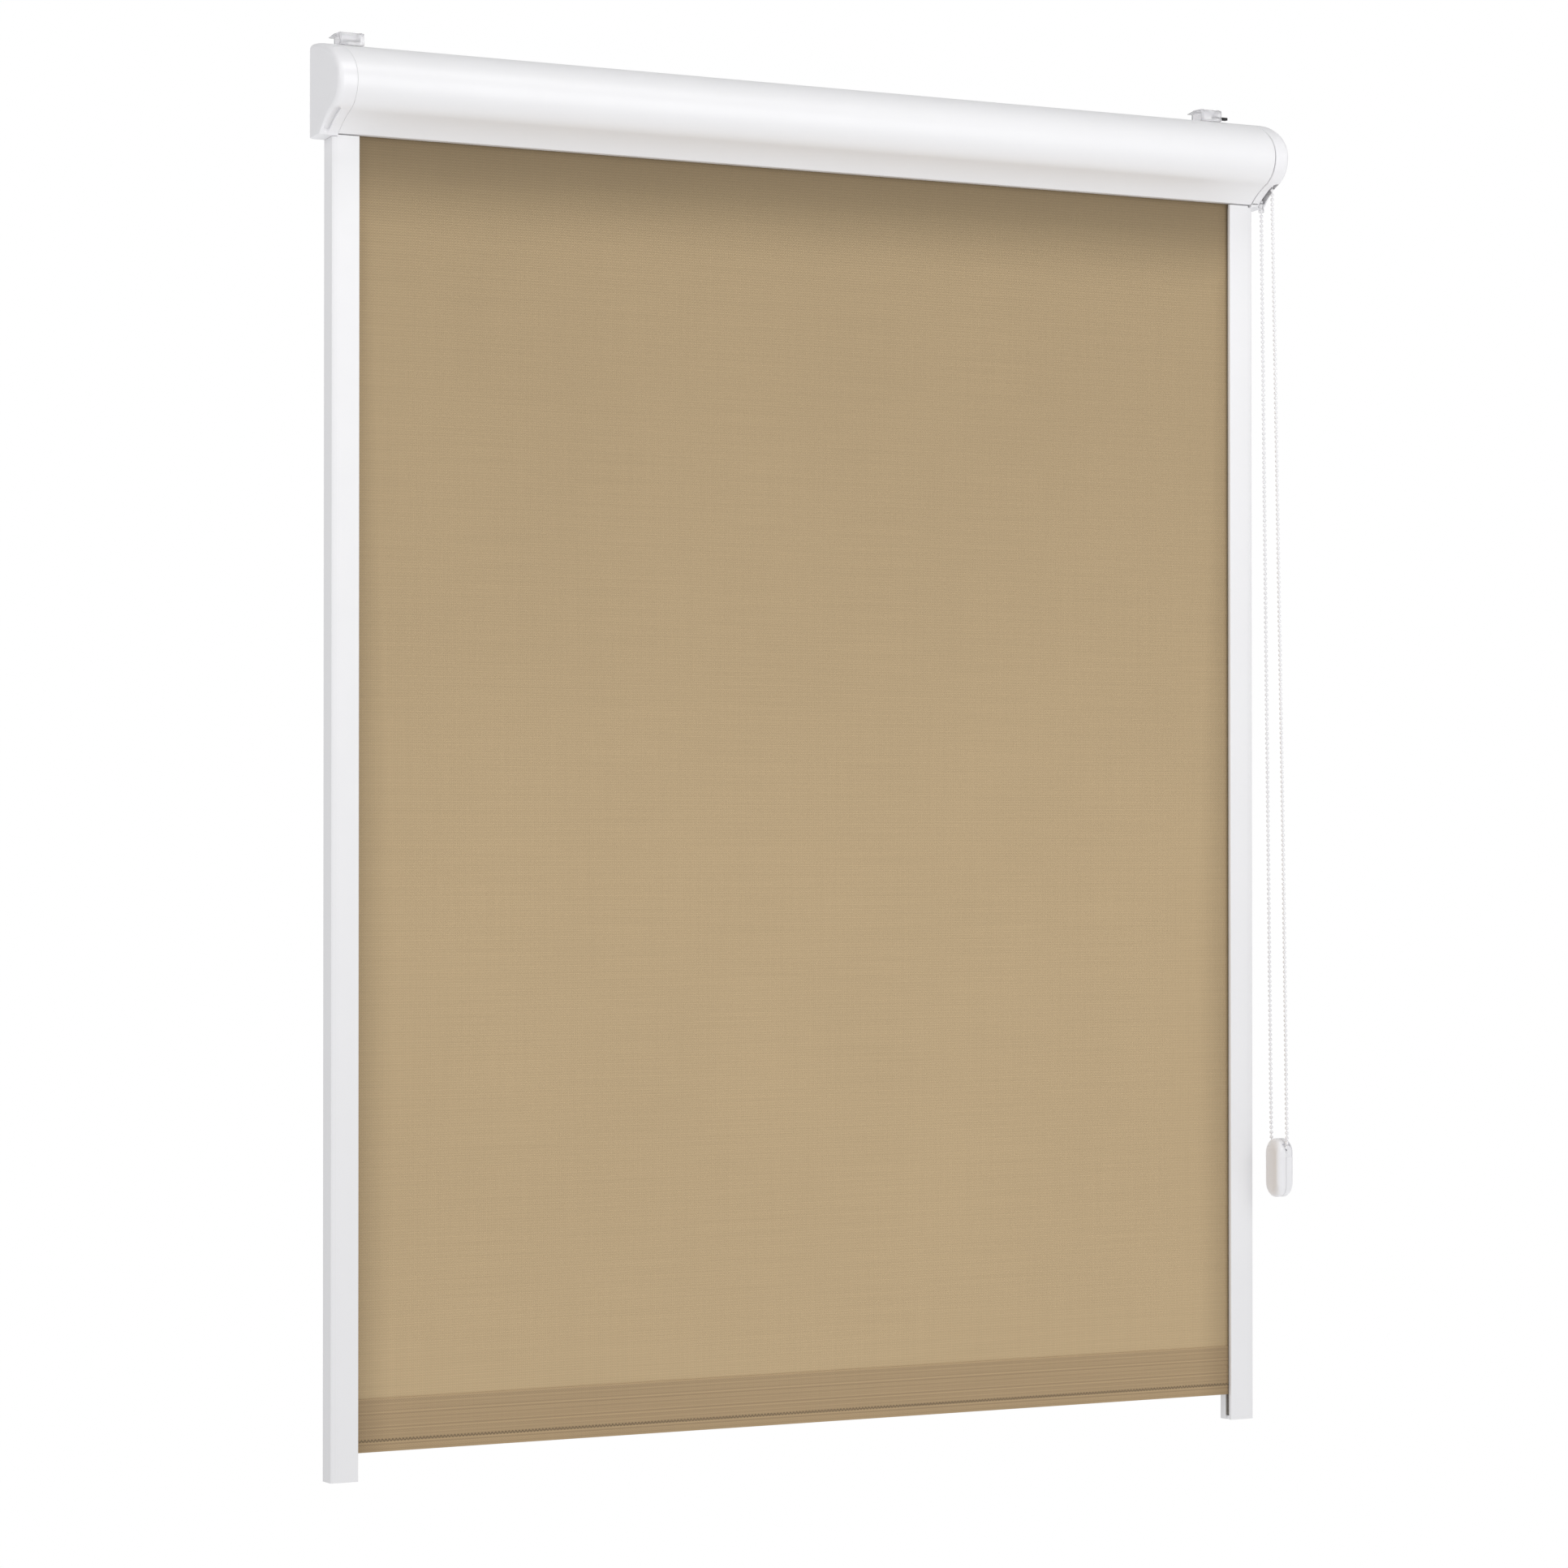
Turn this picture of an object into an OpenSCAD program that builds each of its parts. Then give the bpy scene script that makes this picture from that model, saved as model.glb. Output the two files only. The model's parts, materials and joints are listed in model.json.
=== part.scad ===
// Cassette roller blind with side rails and a bead chain drive.
// Millimetres. +X is the chain side, -Y faces the room, +Z is up.
// The origin is the middle of the cassette's flat back, which lies on the wall plane Y = 0.
// Cross-sections are drawn as [depth from the wall, height] and turned into place by along().

/* [Blind] */
// Width over the two end caps
overall_w = 960; // [700:10:1600]
// Height from the cassette's middle to the foot of the side rails
rail_drop = 1164; // [1000:1:1400]
// Distance from the foot of the rails up to the bottom edge of the fabric
fabric_gap = 23; // [15:1:60]
// Height of the stitched hem pocket
hem_h = 45; // [40:1:60]

/* [Cassette] */
// Length of each moulded end cap along the cassette
cap_len = 17; // [16:0.5:22]
// Wall of the aluminium front cover
cover_t = 1.5; // [1.2:0.1:1.6]
// Wall of the moulded end caps
cap_t = 2; // [1.8:0.1:2.2]
// Rounding of the outer edge of the end caps
cap_round = 5; // [3:0.5:5]

/* [Roller] */
// Outer radius of the roller tube
tube_r = 16; // [15:0.5:16]
// Wall of the roller tube
tube_t = 1; // [0.8:0.1:1.2]
// Outer radius of the turns of fabric left on the tube when the blind is down
roll_r = 17.5; // [17:0.1:17.5]
// Thickness of the fabric
fabric_t = 0.5; // [0.4:0.05:0.5]

/* [Side rails] */
// Width of a rail, seen from the room
rail_w = 25; // [24:1:28]
// Depth of a rail from the wall
rail_d = 17; // [17:0.5:18]
// Distance from the outside of an end cap to the outside of the rail below it
rail_inset = 13; // [12:0.5:16]

/* [Chain] */
// Number of bead pockets round the chain wheel
pockets = 12; // [12:1:13]
// Distance between bead centres
bead_pitch = 4.5;
// Diameter of a bead
bead_d = 3.4;

/* [Brackets] */
// Width of each clip bracket
bracket_w = 22; // [20:1:26]
// Distance from the middle of the cassette to the middle of the left bracket
left_bracket_x = 452; // [300:1:452]
// Distance from the middle of the cassette to the middle of the right bracket
right_bracket_x = 417; // [300:1:440]
// Radius of the screw hole in a bracket
screw_r = 2.25; // [2:0.05:2.5]

/* [Hidden] */
$fn = 64;

half_w = overall_w / 2;
seam_x = half_w - cap_len;           // joint between cassette and end cap
eps = 0.05;

// Cassette section: an ellipse over the top and front, a round nose, then a hollow slope to the lip
front_d = 60;
crown_z = 3;
crown_h = 36;
nose_r = 27;
nose_turn = 66;
slope_r = 80;
slope_turn = 20;
back_bottom_z = -41;
lip_d = 19.5;
lip_z = -39;
nose_d = front_d - nose_r;
slope_c = [nose_d + (nose_r + slope_r) * cos(nose_turn), crown_z - (nose_r + slope_r) * sin(nose_turn)];
slope_start = 180 - nose_turn;
hook_d = 3.2;                        // where the front cover starts behind the top
cover_lip_z = slope_c[1] + slope_r * sin(slope_start + slope_turn);

// Roller axis
axis_d = 29;
axis_z = 2;
sheet_gap = 0.35;
sheet_d = axis_d - roll_r - sheet_gap - fabric_t / 2;   // depth of the hanging fabric's middle

// Guide nose on the front cover, and the stretch of fabric that slants back to it from the roll
guide_r = cover_t / 2;
nose_edge_d = sheet_d + 2.1;
feed_z = cover_lip_z + cover_t / 2;
feed_r = roll_r + sheet_gap + fabric_t / 2;
feed_to_axis = [axis_d - sheet_d, axis_z - feed_z];
feed_angle = atan2(feed_to_axis[1], feed_to_axis[0]) - asin(feed_r / norm(feed_to_axis));
feed_len = sqrt(norm(feed_to_axis) * norm(feed_to_axis) - feed_r * feed_r);

// Rails
rail_out = half_w - rail_inset;
rail_in = rail_out - rail_w;
rail_top = back_bottom_z - 0.4;
rail_t = 1.4;
slot_back = sheet_d - 2.7;           // faces of the slot that the fabric runs in
slot_front = sheet_d + 2.7;
seal_t = 1.3;
seal_w = 3;
mount_hole_r = 2.1;
mount_z = [-140, -600, -1060];

// Fabric
fabric_half = rail_in + 7;
fabric_bottom = fabric_gap - rail_drop;
hem_t = 2.2;
bar_t = 1.2;
bar_h = 40;

// Chain drive
chain_x = half_w - 5;
wheel_pitch_r = pockets * bead_pitch / (2 * PI);
groove_r = bead_d / 2 + 0.25;
wheel_w = 5.4;
wheel_r = wheel_pitch_r + 2.6;
shaft_r = 6;
run = 0.05;                          // radial clearance of a running fit
wrap_end_z = -14.4;
slot_w = 6.2;
slot_from = axis_d - wheel_pitch_r - 2.8;
slot_to = axis_d + wheel_pitch_r + 7;

// Brackets
bracket_leg_w = 12;
plate_z = 45;
plate_t = 2.2;
plate_d = 24;
strap_t = 2;
latch_z = 40.1;
latch_t = 1.6;
latch_d = 18.6;
latch_r = 3;
latch_len = 13.5;
pivot_r = 1.2;
pivot_dx = 6.5;

// Weight on the chain
weight_w = 22;
weight_h = 54;
weight_t = 16;
weight_round = 3;
weight_top = -903;
weight_d = 47.5;
weight_ring_z = -906;                // centre of the round channel that the chain turns in
weight_ring_r = 12;

// Route of the free bead chain: [depth, height], down the front strand and up the rear strand
chain_route = [[37.6, -16], [37.8, -22], [38.2, -40], [40, -100], [42, -170], [46, -320], [50, -470],
    [54, -620], [57, -770], [59.2, -880], [59.5, -896], [59.5, -906], [57.9, -912], [53.5, -916.4],
    [47.5, -918], [41.5, -916.4], [37.1, -912], [35.5, -906], [34.9, -896], [34.6, -880], [32.6, -760],
    [30.1, -610], [27.6, -460], [25.1, -310], [22.6, -160], [21.6, -100], [20.6, -40], [20.4, -22],
    [20.4, -16]];
rear_slope = 1 / 60;                 // how much the rear strand comes forward for its drop
connector_at = [20.6, -40];
connector_len = 8.4;
connector_r = 2.6;

// ---- section helpers -------------------------------------------------------------------------

// Points of an elliptical arc, in [depth, height]
function arc(c, rd, rz, a0, a1, n) =
    [for (i = [0:n]) let (a = a0 + (a1 - a0) * i / n) [c[0] + rd * cos(a), c[1] + rz * sin(a)]];

// Front outline of the cassette, inset by t, from depth d0 at the top round to the lip or short of it
function front_line(t, d0, turn = slope_turn) = concat(
    arc([0, crown_z], front_d - t, crown_h - t, acos(d0 / (front_d - t)), 0, 22),
    arc([nose_d, crown_z], nose_r - t, nose_r - t, -6, -nose_turn, 10),
    arc(slope_c, slope_r + t, slope_r + t, slope_start + 2.5, slope_start + turn, 7));

// Whole closed outline of an end cap, inset by t everywhere but at the back, which insets by b
function cap_line(t, b) = concat(
    [[b, back_bottom_z + t + b * 0.1]],
    front_line(t, max(b, 0.01)),
    [[lip_d - t, lip_z + t]]);

function reversed(p) = [for (i = [len(p) - 1:-1:0]) p[i]];

// Turns a [depth, height] section into a bar from x0 to x1
module along(x0, x1) {
    translate([x0, 0, 0]) rotate([90, 0, 90]) linear_extrude(x1 - x0) mirror([1, 0]) children();
}

// Cylinder along X at a depth and height
module rod(d, z, r, x0, x1) {
    translate([x0, -d, z]) rotate([0, 90, 0]) cylinder(r = r, h = x1 - x0);
}

// Block from depth d0 to d1 and height z0 to z1
module block(x0, x1, d0, d1, z0, z1) {
    translate([x0, -d1, z0]) cube([x1 - x0, d1 - d0, z1 - z0]);
}

module ring(r0, r1, x0, x1) {
    difference() {
        rod(axis_d, axis_z, r1, x0, x1);
        rod(axis_d, axis_z, r0, x0 - 1, x1 + 1);
    }
}

// Draws its children on the right, or mirrored on the left
module on_side(right) {
    if (right) children();
    else mirror([1, 0, 0]) children();
}

// ---- cassette --------------------------------------------------------------------------------

// One wall from the hook behind the top, round the front to the lip, then back along a flange whose
// round nose turns the fabric down into the rails
module cassette_front() {
    hook_z = crown_z + crown_h - 5.6;
    flange_turn = 180 - asin((cover_lip_z + cover_t - slope_c[1]) / (slope_r + cover_t)) - slope_start;
    color("whitesmoke") along(-seam_x, seam_x)
        polygon(concat(
            front_line(0, hook_d),
            arc([nose_edge_d, cover_lip_z + guide_r], guide_r, guide_r, -90, -270, 8),
            reversed(front_line(cover_t, hook_d + cover_t, flange_turn)),
            [[hook_d + cover_t, hook_z], [hook_d, hook_z]]));
}

module cassette_back() {
    shelf_z = crown_z + crown_h - 7.4;
    color("whitesmoke") along(-seam_x, seam_x) {
        translate([0, back_bottom_z + 4]) square([1.6, 74]);
        translate([0, crown_z + crown_h - 2]) square([2.8, 1.6]);
        translate([0, shelf_z]) square([15, 1.5]);
        translate([14, shelf_z]) square([1.5, 3.6]);
        // rolled edge that keeps the fabric off the wall
        translate([0, back_bottom_z + 4]) square([3.4, 1.5]);
        translate([3.4, back_bottom_z + 4.75]) circle(r = 0.75);
    }
}

// Rounded cap shell, hollow towards the cassette, drawn for the right-hand end
module cap_shell() {
    steps = 6;
    step = cap_round / steps;
    difference() {
        union() {
            along(seam_x + 0.2, half_w - cap_round) polygon(cap_line(0, 0));
            for (i = [0:steps - 1]) {
                s = cap_round - (i + 1) * step;
                inset = cap_round - sqrt(cap_round * cap_round - (cap_round - s) * (cap_round - s));
                along(half_w - cap_round + i * step - eps, half_w - s) polygon(cap_line(inset, 0));
            }
        }
        along(seam_x - 1, half_w - cap_t) polygon(cap_line(cap_t + 0.4, cap_t));
    }
    // tongue that plugs into the front cover
    along(seam_x - 7, seam_x + 1) {
        inner = cover_t + 0.15;
        polygon(concat(front_line(inner, 22, 10), reversed(front_line(inner + 1.8, 23.8, 10))));
    }
}

module left_end_cap() {
    color("white") mirror([1, 0, 0]) {
        difference() {
            cap_shell();
            // blind recess where the other hand's chain slot would be
            slot_cut(cap_t + 0.4 - 1.1);
        }
        // boss that carries the idle pin
        difference() {
            rod(axis_d, axis_z, 8, seam_x + 2, half_w - cap_t + eps);
            rod(axis_d, axis_z, 3, seam_x, half_w - cap_t);
        }
    }
}

// Round-ended slot through the sloping lower face; the cut stops at the given inset from outside
module slot_cut(keep) {
    intersection() {
        translate([chain_x, -(slot_from + slot_to) / 2, -60])
            linear_extrude(62) union() {
                square([slot_w, slot_to - slot_from - slot_w], center = true);
                for (s = [-1, 1])
                    translate([0, s * (slot_to - slot_from - slot_w) / 2]) circle(d = slot_w);
            }
        difference() {
            along(seam_x, half_w + 1) square([100, 130], center = true);
            along(seam_x - 1, half_w + 2) polygon(cap_line(cap_t + 0.4 - keep, -1));
        }
    }
}

module right_end_cap() {
    color("white") difference() {
        cap_shell();
        slot_cut(-3);
        // parting groove across the chain opening's lower lip
        block(seam_x + 1.5, chain_x - slot_w / 2 - 1.2, lip_d - 3.4, lip_d + 8, -36.9, -36.2);
    }
}

// ---- roller ----------------------------------------------------------------------------------

tube_x0 = -seam_x + 5;
tube_x1 = seam_x - 6;
key_w = 4;
key_floor = tube_r - tube_t - 2.4;

module roller_tube() {
    color("silver") difference() {
        union() {
            ring(tube_r - tube_t, tube_r, tube_x0, tube_x1);
            // keyway channel rolled into the wall
            block(tube_x0, tube_x1, axis_d - key_w / 2 - 1, axis_d + key_w / 2 + 1,
                axis_z + key_floor - 1, axis_z + tube_r - 0.6);
        }
        block(tube_x0 - 1, tube_x1 + 1, axis_d - key_w / 2, axis_d + key_w / 2,
            axis_z + key_floor, axis_z + tube_r + 1);
    }
}

module fabric_retainer() {
    color("gainsboro") block(-fabric_half, fabric_half, axis_d - key_w / 2 + 0.2, axis_d + key_w / 2 - 0.2,
        axis_z + key_floor + 0.1, axis_z + tube_r - 0.3);
}

module fabric_roll() {
    color("tan") ring(tube_r + 0.1, roll_r, -fabric_half, fabric_half);
}

// Plug that fits the tube's bore and is notched for its keyway
module tube_plug(x0, x1, bore) {
    difference() {
        rod(axis_d, axis_z, tube_r - tube_t, x0, x1);
        rod(axis_d, axis_z, bore, x0 - 1, x1 + 1);
        block(x0 - 1, x1 + 1, axis_d - key_w / 2 - 1.1, axis_d + key_w / 2 + 1.1,
            axis_z + key_floor - 1.1, axis_z + tube_r);
    }
}

module idle_plug() {
    color("gray") {
        tube_plug(tube_x0, tube_x0 + 26, 5);
        ring(5, tube_r + 1.2, tube_x0 - 2.5, tube_x0);
    }
}

module idle_bush() {
    color("ivory") ring(3 + run, 5, tube_x0 - 2, tube_x0 + 22);
}

module idle_pin() {
    color("lightgray") rod(axis_d, axis_z, 3, -half_w + cap_t, tube_x0 + 20);
}

module drive_plug() {
    color("gray") {
        tube_plug(tube_x1 - 32, tube_x1 - 16, shaft_r + run);
        tube_plug(tube_x1 - 16, tube_x1, 9.6);
        ring(9.6, tube_r + 1.2, tube_x1, tube_x1 + 2);
    }
}

module clutch_springs() {
    color("dimgray") for (i = [0:2])
        ring(shaft_r + run, shaft_r + 1.6, tube_x1 - 15 + i * 4.6, tube_x1 - 11 + i * 4.6);
}

module clutch_hub() {
    color("whitesmoke") difference() {
        rod(axis_d, axis_z, shaft_r, tube_x1 - 34, half_w - cap_t);
        rod(axis_d, axis_z, 2.4, tube_x1 - 35, half_w - cap_t - 3);
    }
}

module chain_wheel() {
    color("white") {
        difference() {
            translate([chain_x, -axis_d, axis_z]) rotate([0, 90, 0]) rotate_extrude() difference() {
                translate([shaft_r + run, -wheel_w / 2]) square([wheel_r - shaft_r - run, wheel_w]);
                translate([wheel_pitch_r, 0]) circle(r = groove_r);
                translate([wheel_pitch_r, -groove_r]) square([wheel_r, 2 * groove_r]);
            }
            // pockets that the beads sit in, cut through both rims
            for (i = [0:pockets - 1])
                translate([chain_x, -axis_d, axis_z]) rotate([i * 360 / pockets, 0, 0])
                    translate([-wheel_w, 0, wheel_r]) rotate([0, 90, 0]) cylinder(r = 1.1, h = 2 * wheel_w);
        }
        // sleeve that turns the clutch springs
        ring(shaft_r + run, 9, tube_x1 + 0.4, chain_x - wheel_w / 2 + eps);
    }
}

module chain_guard() {
    x0 = chain_x - wheel_w / 2 - 3.2;
    x1 = chain_x - wheel_w / 2 - 0.8;
    color("gainsboro") {
        ring(9.4, wheel_r + 4, x0, x1);
        // shroud over the upper half of the wheel keeps the beads in their pockets
        intersection() {
            ring(wheel_r + 1.2, wheel_r + 3, x1 - eps, half_w - cap_t);
            block(x0, half_w, 0, front_d, axis_z + 1, axis_z + 40);
        }
        // arms that locate it in the end cap
        block(x0, x1, cap_t + 0.3, axis_d - wheel_r - 3.6, axis_z - 4, axis_z + 4);
        block(x0, x1, axis_d + wheel_r + 3.6, front_d - cap_t - 1.2, axis_z - 4, axis_z + 4);
    }
}

module chain_on_wheel() {
    color("white") translate([chain_x, -axis_d, axis_z]) {
        rotate([0, 90, 0]) rotate([0, 0, 90]) rotate_extrude(angle = 180)
            translate([wheel_pitch_r, 0]) circle(d = bead_d);
        for (s = [-1, 1])
            translate([0, s * wheel_pitch_r, wrap_end_z - axis_z])
                cylinder(d = bead_d, h = axis_z - wrap_end_z);
    }
}

// ---- fabric ----------------------------------------------------------------------------------

// Slanting stretch inside the cassette, from the front of the roll back to the guide nose
module fabric_feed() {
    color("tan") along(-fabric_half, fabric_half)
        translate([sheet_d, feed_z]) rotate(feed_angle)
            translate([0.2, -fabric_t / 2]) square([feed_len - 0.2, fabric_t]);
}

module fabric_sheet() {
    color("tan") block(-fabric_half, fabric_half, sheet_d - fabric_t / 2, sheet_d + fabric_t / 2,
        fabric_bottom + hem_h, feed_z);
}

module fabric_hem() {
    color("peru") difference() {
        block(-fabric_half, fabric_half, sheet_d - hem_t / 2, sheet_d + hem_t / 2,
            fabric_bottom, fabric_bottom + hem_h - 0.1);
        block(-fabric_half - 1, fabric_half + 1, sheet_d - bar_t / 2 - 0.1, sheet_d + bar_t / 2 + 0.1,
            fabric_bottom + 1, fabric_bottom + 1 + bar_h + 0.2);
    }
}

module hem_bar() {
    color("silver") block(-rail_in, rail_in, sheet_d - bar_t / 2, sheet_d + bar_t / 2,
        fabric_bottom + 1.1, fabric_bottom + 1.1 + bar_h);
}

// Plastic end piece of the hem bar, which slides in the rail
module hem_guide(right) {
    color("white") on_side(right) {
        block(fabric_half + 0.3, rail_out - 6, sheet_d - 1, sheet_d + 1,
            fabric_bottom + 2, fabric_bottom + 40);
        block(rail_in + 0.1, fabric_half + 0.4, sheet_d - bar_t / 2, sheet_d + bar_t / 2,
            fabric_bottom + 10, fabric_bottom + 32);
    }
}

module left_hem_guide() hem_guide(false);
module right_hem_guide() hem_guide(true);

// ---- side rails ------------------------------------------------------------------------------

// Bar along the rail's length with a section drawn from above: x across, y the depth
module upright(x0, x1, d0, d1, z0 = -rail_drop, z1 = rail_top) {
    block(x0, x1, d0, d1, z0, z1);
}

module rail_base(right) {
    color("whitesmoke") on_side(right) difference() {
        union() {
            upright(rail_in, rail_out - rail_t - 0.1, 0, rail_t);
            upright(rail_in, rail_in + rail_t, 0, slot_back);
            // leg that the front cover snaps over
            upright(rail_out - 2 * rail_t - 0.2, rail_out - rail_t - 0.1, 0, rail_d - 4);
        }
        for (z = mount_z)
            translate([(rail_in + rail_out) / 2, 1, z]) rotate([90, 0, 0])
                cylinder(r = mount_hole_r, h = rail_t + 2);
    }
}

module rail_cover(right) {
    color("whitesmoke") on_side(right) {
        upright(rail_in, rail_out, rail_d - rail_t, rail_d);
        upright(rail_out - rail_t, rail_out, 0, rail_d);
        upright(rail_in, rail_in + rail_t, slot_front, rail_d);
    }
}

// Pile strips on both sides of the fabric slot
module rail_seals(right) {
    color("lightgray") on_side(right) {
        upright(rail_in, rail_in + seal_w, slot_back + 0.02, slot_back + seal_t, -rail_drop + 4);
        upright(rail_in, rail_in + seal_w, slot_front - seal_t, slot_front - 0.02, -rail_drop + 4);
    }
}

// Plastic funnel that joins a rail to the cassette and leads the fabric in
module rail_adaptor(right) {
    x0 = rail_in + rail_t + 0.1;
    x1 = rail_out - 2 * rail_t - 0.4;
    color("white") on_side(right) difference() {
        union() {
            block(x0, x1, rail_t + 0.1, rail_d - rail_t - 0.1, rail_top - 16, rail_top);
            block(x0, seam_x - 1, 4.4, rail_d - rail_t - 0.1, rail_top, rail_top + 3.2);
        }
        block(x0 - 1, x1 - 2.2, slot_back + 1.2, slot_front - 1.2, rail_top - 20, rail_top + 12);
        // room for the pile strips
        block(x0 - 1, rail_in + seal_w + 0.2, slot_back - 0.1, slot_front + 0.1,
            rail_top - 20, rail_top + 0.1);
    }
}

// Plug that closes the foot of a rail
module rail_foot(right) {
    color("white") on_side(right) {
        block(rail_in + rail_t + 0.1, rail_out - 2 * rail_t - 0.4, rail_t + 0.1, rail_d - rail_t - 0.1,
            -rail_drop + 0.1, -rail_drop + 3.4);
        block(rail_in + rail_t + 4, rail_out - 2 * rail_t - 2, rail_t + 0.1, rail_t + 2.1,
            -rail_drop + 3.4, -rail_drop + 14);
    }
}

module left_rail_base() rail_base(false);
module right_rail_base() rail_base(true);
module left_rail_cover() rail_cover(false);
module right_rail_cover() rail_cover(true);
module left_rail_seals() rail_seals(false);
module right_rail_seals() rail_seals(true);
module left_rail_adaptor() rail_adaptor(false);
module right_rail_adaptor() rail_adaptor(true);
module left_rail_foot() rail_foot(false);
module right_rail_foot() rail_foot(true);

// ---- brackets --------------------------------------------------------------------------------

// Clear clip bracket: a top plate on a rear leg and a front strap that bears on the cassette
module bracket(x) {
    x0 = x - bracket_w / 2;
    x1 = x + bracket_w / 2;
    color("lightcyan") difference() {
        union() {
            block(x0, x1, 0, plate_d, plate_z, plate_z + plate_t);
            block(x - bracket_leg_w / 2, x + bracket_leg_w / 2, 0, strap_t, crown_z + crown_h, plate_z + eps);
            block(x0, x1, plate_d - strap_t, plate_d, 36.8, plate_z + eps);
            // claw under the strap
            block(x0, x1, plate_d - strap_t - 1.2, plate_d, 36.8, 38.2);
            translate([x + pivot_dx, -latch_d, latch_z + latch_t + 0.1])
                cylinder(r = latch_r, h = plate_z - latch_z - latch_t);
        }
        translate([x - 2, -plate_d / 2, plate_z - 1]) cylinder(r = screw_r, h = plate_t + 2);
        translate([x + pivot_dx, -latch_d, latch_z]) cylinder(r = pivot_r + run, h = 10);
    }
}

module left_bracket() bracket(-left_bracket_x);
module right_bracket() bracket(right_bracket_x);

// Swivel latch: a flat arm with a turned-down tip, pointing along +X before it is turned
module latch(x, turn) {
    color("black") translate([x + pivot_dx, -latch_d, latch_z]) rotate([0, 0, turn]) difference() {
        union() {
            cylinder(r = latch_r, h = latch_t);
            translate([0, -2, 0]) cube([latch_len, 4, latch_t]);
            translate([latch_len - 5, -2, -0.9]) cube([5, 4, 1]);
        }
        translate([0, 0, -1]) cylinder(r = pivot_r + run, h = latch_t + 2);
    }
}

module left_latch() latch(-left_bracket_x, 180);
module right_latch() latch(right_bracket_x, 0);

module latch_pins() {
    color("silver") for (x = [-left_bracket_x, right_bracket_x])
        translate([x + pivot_dx, -latch_d, 0]) {
            translate([0, 0, latch_z - 0.8]) cylinder(r = pivot_r, h = plate_z - latch_z + 3.2);
            translate([0, 0, latch_z - 0.9]) cylinder(r = 2, h = 0.7);
        }
}

// ---- chain -----------------------------------------------------------------------------------

sides = 8;

function unit(v) = v / norm(v);
function route_dir(i) = unit(chain_route[min(i + 1, len(chain_route) - 1)] - chain_route[max(i - 1, 0)]);

// Ring of the chain's tube at one point of its route
function route_ring(i) = let (p = chain_route[i], t = route_dir(i), r = bead_d / 2)
    [for (k = [0:sides - 1]) let (a = 360 * k / sides, u = r * cos(a), v = r * sin(a))
        [chain_x + v, -(p[0] - t[1] * u), p[1] + t[0] * u]];

module chain_loop() {
    n = len(chain_route);
    color("white") polyhedron(
        points = [for (i = [0:n - 1]) each route_ring(i)],
        faces = concat(
            [[for (k = [0:sides - 1]) k]],
            [[for (k = [sides - 1:-1:0]) (n - 1) * sides + k]],
            [for (i = [0:n - 2]) for (k = [0:sides - 1])
                [i * sides + k, (i + 1) * sides + k, (i + 1) * sides + (k + 1) % sides,
                    i * sides + (k + 1) % sides]]),
        convexity = 6);
}

// Sleeve that joins the two ends of the chain
module chain_connector() {
    bore = bead_d / 2 + 0.35;
    color("white") translate([chain_x, -connector_at[0], connector_at[1]]) rotate([atan(-rear_slope), 0, 0])
        difference() {
            union() {
                cylinder(r = connector_r, h = connector_len - 2 * connector_r, center = true);
                for (s = [-1, 1])
                    translate([0, 0, s * (connector_len / 2 - connector_r)]) sphere(r = connector_r);
            }
            cylinder(r = bore, h = connector_len + 2, center = true);
        }
}

// Flat capsule with softened edges, cut by the round channel for the chain
module weight_body() {
    steps = 4;
    straight = weight_h - weight_w;
    difference() {
        translate([chain_x, -weight_d, weight_top - weight_h / 2]) rotate([0, 90, 0])
            for (k = [0:steps]) {
                s = weight_round * k / steps;
                inset = weight_round - sqrt(weight_round * weight_round - pow(weight_round - s, 2));
                translate([0, 0, s - weight_t / 2]) linear_extrude(weight_t - 2 * s) {
                    square([straight, weight_w - 2 * inset], center = true);
                    for (e = [-1, 1]) translate([e * straight / 2, 0]) circle(d = weight_w - 2 * inset);
                }
            }
        translate([chain_x, -weight_d, weight_ring_z]) rotate([0, 90, 0])
            rotate_extrude() translate([weight_ring_r, 0]) circle(d = bead_d + 1.2);
    }
}

// One half of the weight: side is -1 on the left of the parting line and 1 on the right
module weight_half(side) {
    color("white") intersection() {
        weight_body();
        translate([chain_x + side * (weight_t / 2 + eps), -weight_d, weight_top - weight_h / 2])
            cube([weight_t, 2 * weight_w, 2 * weight_h], center = true);
    }
}

module weight_left_half() weight_half(-1);
module weight_right_half() weight_half(1);

// ---- assembly --------------------------------------------------------------------------------

cassette_front();
cassette_back();
left_end_cap();
right_end_cap();
idle_pin();
idle_bush();
idle_plug();
roller_tube();
fabric_retainer();
fabric_roll();
drive_plug();
clutch_springs();
clutch_hub();
chain_wheel();
chain_guard();
chain_on_wheel();
fabric_feed();
fabric_sheet();
fabric_hem();
hem_bar();
left_hem_guide();
right_hem_guide();
left_rail_base();
right_rail_base();
left_rail_cover();
right_rail_cover();
left_rail_adaptor();
right_rail_adaptor();
left_rail_foot();
right_rail_foot();
left_rail_seals();
right_rail_seals();
left_bracket();
right_bracket();
left_latch();
right_latch();
latch_pins();
chain_loop();
chain_connector();
weight_left_half();
weight_right_half();
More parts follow.
